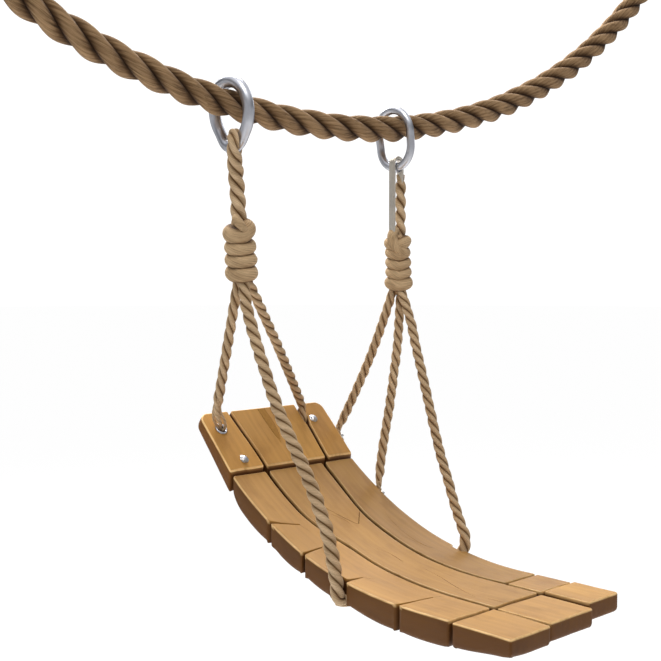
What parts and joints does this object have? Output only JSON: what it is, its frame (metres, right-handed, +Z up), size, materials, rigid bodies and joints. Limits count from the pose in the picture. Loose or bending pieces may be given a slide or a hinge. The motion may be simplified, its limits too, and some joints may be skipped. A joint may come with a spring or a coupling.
{
  "type": "zip line swing seat",
  "caption": "Curved wooden plank seat hung by knotted rope hangers from steel rings that slide along a sagging laid line rope.",
  "frame": {"origin": "on the flat front part of the seat's top face, midway across the seat's width", "axes": "+X along the line rope, +Y from the seat's front towards its raised back panel, +Z up"},
  "size_m": [1.8068, 0.7468, 1.3298],
  "materials": {
    "line_rope": "coarse three-strand laid hawser",
    "hanger_rope": "natural fibre three-strand laid rope",
    "seat_wood": "oiled, hand-worked planks with worn edges",
    "batten_wood": "plain sawn, oiled",
    "steel": "polished, lightly worn",
    "hardware": "bright plated"
  },
  "bodies": {
    "line": {"line_rope": "line_rope"},
    "ring_left": {"ring_left": "steel"},
    "ring_right": {"ring_right": "steel"},
    "sleeve_left": {"sleeve_left": "steel"},
    "sleeve_right": {"sleeve_right": "steel"},
    "hanger_left": {"hanger_rope_left": "hanger_rope", "knot_left": "hanger_rope"},
    "hanger_right": {"steel_link": "steel", "hanger_rope_right": "hanger_rope", "knot_right": "hanger_rope"},
    "seat": {"end_near": "seat_wood", "end_mid": "seat_wood", "end_far": "seat_wood", "plank_near": "seat_wood", "plank_mid": "seat_wood", "plank_far_front": "seat_wood", "plank_far_rear": "seat_wood", "panel_near": "seat_wood", "panel_mid": "seat_wood", "panel_far": "seat_wood", "batten_front": "batten_wood", "batten_middle": "batten_wood", "batten_rear": "batten_wood", "bolt_near": "hardware", "bolt_far": "hardware", "nut_near": "hardware", "nut_far": "hardware", "eyelet": "hardware", "anchor_eye_front": "hardware", "anchor_eye_rear": "hardware", "screw_01": "hardware", "screw_02": "hardware", "screw_03": "hardware", "screw_04": "hardware", "screw_05": "hardware", "screw_06": "hardware", "screw_07": "hardware", "screw_08": "hardware", "screw_09": "hardware", "screw_10": "hardware", "screw_11": "hardware", "screw_12": "hardware", "screw_13": "hardware", "screw_14": "hardware", "screw_15": "hardware", "screw_16": "hardware", "leg_rear_left": "hanger_rope", "leg_middle_left": "hanger_rope", "leg_rear_right": "hanger_rope", "leg_middle_right": "hanger_rope", "sling_rope": "hanger_rope"}
  },
  "joints": [
    {"name": "travel", "type": "hinge", "parent": "line", "child": "ring_left", "pos_m": [0.025, 0.421, 2.296], "axis": [0, -1, 0], "range_deg": [-12, 28]},
    {"name": "travel_right", "type": "hinge", "parent": "line", "child": "ring_right", "pos_m": [0.025, 0.421, 2.296], "axis": [0, -1, 0], "range_deg": [-12, 28]},
    {"name": "swing", "type": "hinge", "parent": "ring_left", "child": "sleeve_left", "pos_m": [-0.197, 0.421, 0.76], "axis": [1, 0, 0], "range_deg": [-30, 30]},
    {"name": "swing_right", "type": "hinge", "parent": "ring_right", "child": "sleeve_right", "pos_m": [0.204, 0.421, 0.76], "axis": [1, 0, 0], "range_deg": [-30, 30]},
    {"name": "sway", "type": "hinge", "parent": "sleeve_left", "child": "hanger_left", "pos_m": [-0.197, 0.421, 0.7295], "axis": [0, 1, 0], "range_deg": [-15, 15]},
    {"name": "sway_right", "type": "hinge", "parent": "sleeve_right", "child": "hanger_right", "pos_m": [0.204, 0.421, 0.7195], "axis": [0, 1, 0], "range_deg": [-15, 15]},
    {"name": "seat_tilt", "type": "hinge", "parent": "hanger_left", "child": "seat", "pos_m": [-0.187, 0.421, 0.4955], "axis": [0, 1, 0], "range_deg": [-15, 15]}
  ],
  "couplings": [
    {"joint": "travel_right", "follows": "travel", "ratio": 1},
    {"joint": "swing_right", "follows": "swing", "ratio": 1},
    {"joint": "sway_right", "follows": "sway", "ratio": 1},
    {"joint": "seat_tilt", "follows": "sway", "ratio": -1}
  ]
}
